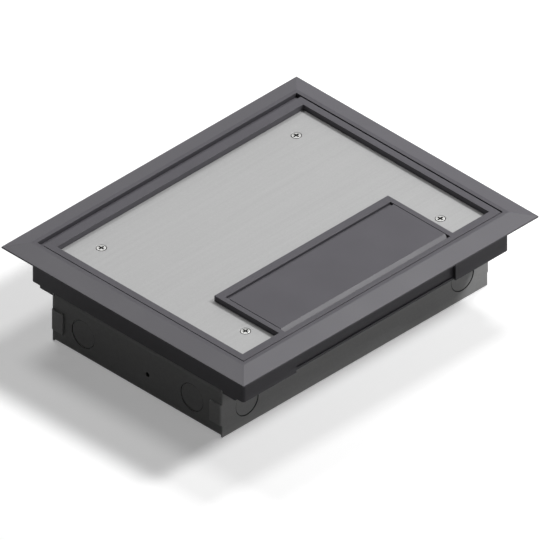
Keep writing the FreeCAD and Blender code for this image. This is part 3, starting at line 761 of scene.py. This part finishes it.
def corner_places(node, inset_x, inset_y):
    """Four places at the top of a node's box, in from its corners."""
    low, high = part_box(node)
    return [
        (x, y, high.z)
        for x in (low.x + inset_x, high.x - inset_x)
        for y in (low.y + inset_y, high.y - inset_y)
    ]


pan_screw = screw_tree("pan_screw", pan_outline)
clamp_screw = screw_tree("clamp_screw", pan_outline, threaded=True)
countersunk_screw = screw_tree("countersunk_screw", countersunk_outline, sunk=True)

lid_screw_places = corner_places("lid_screws", lid_head_radius, lid_head_radius)
place_screws("lid_screws", countersunk_screw, lid_screw_places, lid_screw_sizes, sunk=True)

low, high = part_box("frame_screws")
frame_screw_places = [
    (x, y, high.z - pan_head_height)
    for x in (low.x + pan_head_radius, (low.x + high.x) / 2, high.x - pan_head_radius)
    for y in (low.y + pan_head_radius, high.y - pan_head_radius)
]
place_screws("frame_screws", pan_screw, frame_screw_places, pan_screw_sizes)

plate_screw_places = [
    place
    for plate in ("socket_plate_left", "socket_plate_middle", "data_plate")
    for place in corner_places(plate, plate_screw_inset_x, plate_screw_inset_y)
]
place_screws("plate_screws", pan_screw, plate_screw_places, pan_screw_sizes)

for number in clamp_numbers:
    node = f"clamp_screw_{number}"
    low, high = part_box(node)
    middle = (low + high) / 2
    place = (middle.x, middle.y, high.z - clamp_head_height)
    sizes = {**clamp_screw_sizes, "Head Radius": (high.x - low.x) / 2}
    place_screws(node, clamp_screw, [place], sizes)


# What shows inside the openings of the sockets

def block_tree():
    """Plain blocks, each leaning about X."""
    tree, given = new_tree("leaning_block", ("Width", "Length", "Height", "Slope"), ("Finish",))
    size = vector(tree, given["Width"], given["Length"], given["Height"])
    block = add(tree, "GeometryNodeMeshCube", {"Size": size}).outputs["Mesh"]
    leaning = moved(tree, block, Rotation=vector(tree, given["Slope"]))
    blocks = on_each(tree, given["Places"], leaning)
    add(tree, "NodeGroupOutput", {"Pieces": in_finish(tree, blocks, given["Finish"])})
    return tree


def contact_wire(tree, given):
    """A spring wire that comes out of a wall and bends down into the jack."""
    inwards = maths(tree, "MULTIPLY", given["Reach"], -1.0)
    down = maths(tree, "MULTIPLY", given["Depth"], -1.0)
    bend = add(tree, "GeometryNodeCurveQuadraticBezier", {
        "Resolution": bend_steps, "Start": (0, 0, 0),
        "Middle": vector(tree, y=inwards), "End": vector(tree, y=inwards, z=down),
    })
    sides = {"Width": given["Wire Width"], "Height": given["Wire Thickness"]}
    section = add(tree, "GeometryNodeCurvePrimitiveQuadrilateral", sides)
    return swept(tree, bend.outputs["Curve"], section.outputs["Curve"])


def comb_tree():
    """Rows of contact wires, one row in each jack."""
    sizes = ("Count", "Pitch", "Wire Width", "Wire Thickness", "Reach", "Depth")
    tree, given = new_tree("contact_comb", sizes, ("Finish",))
    half = maths(tree, "MULTIPLY", maths(tree, "SUBTRACT", given["Count"], 1.0), -0.5)
    row = add(tree, "GeometryNodeMeshLine", {
        "Count": given["Count"],
        "Start Location": vector(tree, maths(tree, "MULTIPLY", half, given["Pitch"])),
        "Offset": vector(tree, given["Pitch"]),
    })
    comb = on_each(tree, row.outputs["Mesh"], contact_wire(tree, given))
    combs = on_each(tree, given["Places"], comb)
    add(tree, "NodeGroupOutput", {"Pieces": in_finish(tree, combs, given["Finish"])})
    return tree


def outlet_centres():
    """The middle of each socket outlet, on the face of its moulding."""
    centres = []
    for side in ("left", "middle"):
        low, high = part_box(f"twin_socket_{side}")
        middle = (low + high) / 2
        centres += [(middle.x, middle.y + reach, high.z) for reach in (-outlet_reach, outlet_reach)]
    return centres


def place_extra(name, tree, places, sizes, finish):
    """Adds pieces that no node stands for, fixed to the housing."""
    piece = grown(name, tree, places, {**sizes, "Finish": finishes[finish]})
    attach(piece, "housing")


def block_sizes(size, slope):
    width, length, height = size
    return {"Width": width, "Length": length, "Height": height, "Slope": slope}


leaning_block = block_tree()
shutter_places = [
    (x + side * half_pin_spacing, y - half_pin_spacing, z - shutter_drop)
    for x, y, z in outlet_centres()
    for side in (-1, 1)
]
place_extra(
    "slot_shutters", leaning_block, shutter_places, block_sizes(shutter_size, shutter_slope),
    finish="shutter_grey",
)
leaf_places = [
    (x + side * leaf_offset, y + half_pin_spacing, z - leaf_drop)
    for x, y, z in outlet_centres()
    for side in (-1, 1)
]
place_extra(
    "earth_contacts", leaning_block, leaf_places, block_sizes(leaf_size, 0.0),
    finish="brass",
)

low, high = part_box("data_modules")
jack_pitch = (high.y - low.y - jack_face_length) / (jack_count - 1)
first_jack_y = low.y + jack_face_length / 2 + jack_half_height
jack_places = [
    ((low.x + high.x) / 2, first_jack_y + step * jack_pitch, high.z - contact_drop)
    for step in range(jack_count)
]
place_extra(
    "jack_contacts", comb_tree(), jack_places, contact_sizes,
    finish="gold",
)


# Floor, light and camera

def make_floor():
    mesh = bpy.data.meshes.new("floor")
    corners = [
        (-floor_half, -floor_half, -floor_drop), (floor_half, -floor_half, -floor_drop),
        (floor_half, floor_half, -floor_drop), (-floor_half, floor_half, -floor_drop),
    ]
    mesh.from_pydata(corners, [], [(0, 1, 2, 3)])
    floor = bpy.data.objects.new("floor", mesh)
    floor.data.materials.append(finishes["pale_floor"])
    bpy.context.scene.collection.objects.link(floor)


def soft_lamp(name, direction, size, level):
    """A square soft box. At level 1 it alone lights a facing surface to its written colour."""
    light = bpy.data.lights.new(name, "AREA")
    light.shape = "SQUARE"
    light.size = size
    light.energy = level * math.pi ** 2 * lamp_distance ** 2
    lamp = bpy.data.objects.new(name, light)
    towards = Vector(direction).normalized()
    lamp.location = view_point + towards * lamp_distance
    lamp.rotation_mode = "QUATERNION"
    lamp.rotation_quaternion = towards.to_track_quat("Z", "Y")
    bpy.context.scene.collection.objects.link(lamp)


def make_world():
    """White to the eye, and a faint grey light from all round."""
    world = bpy.data.worlds.new("studio")
    bpy.context.scene.world = world
    world.use_nodes = True
    tree = world.node_tree
    shades = {"Factor": seen_directly(tree), "A": surrounding_colour, "B": plain_white}
    shade = add(tree, "ShaderNodeMix", shades, data_type="RGBA").outputs["Result"]
    connect(tree, tree.nodes["Background"], {"Color": shade})


def make_camera():
    data = bpy.data.cameras.new("camera")
    data.type = "ORTHO"
    data.ortho_scale = view_width
    camera = bpy.data.objects.new("camera", data)
    camera.location = view_point + towards_camera * view_distance
    camera.rotation_mode = "QUATERNION"
    camera.rotation_quaternion = towards_camera.to_track_quat("Z", "Y")
    bpy.context.scene.collection.objects.link(camera)
    bpy.context.scene.camera = camera


make_floor()
make_world()
make_camera()

# The sheen lamps stand where the camera sees them mirrored in the face that each is named for
soft_lamp("front", direction=(0.05, -1.0, 0.30), size=1.0, level=0.07)
soft_lamp("front_slope_sheen", direction=(0.577, 0.15, 0.80), size=0.5, level=0.30)
soft_lamp("flap_bevel_sheen", direction=(0.577, -0.374, 0.724), size=0.45, level=0.67)
soft_lamp("left_slope_sheen", direction=(0.16, 0.577, 0.80), size=0.6, level=0.22)

bpy.context.scene.view_settings.view_transform = "Standard"
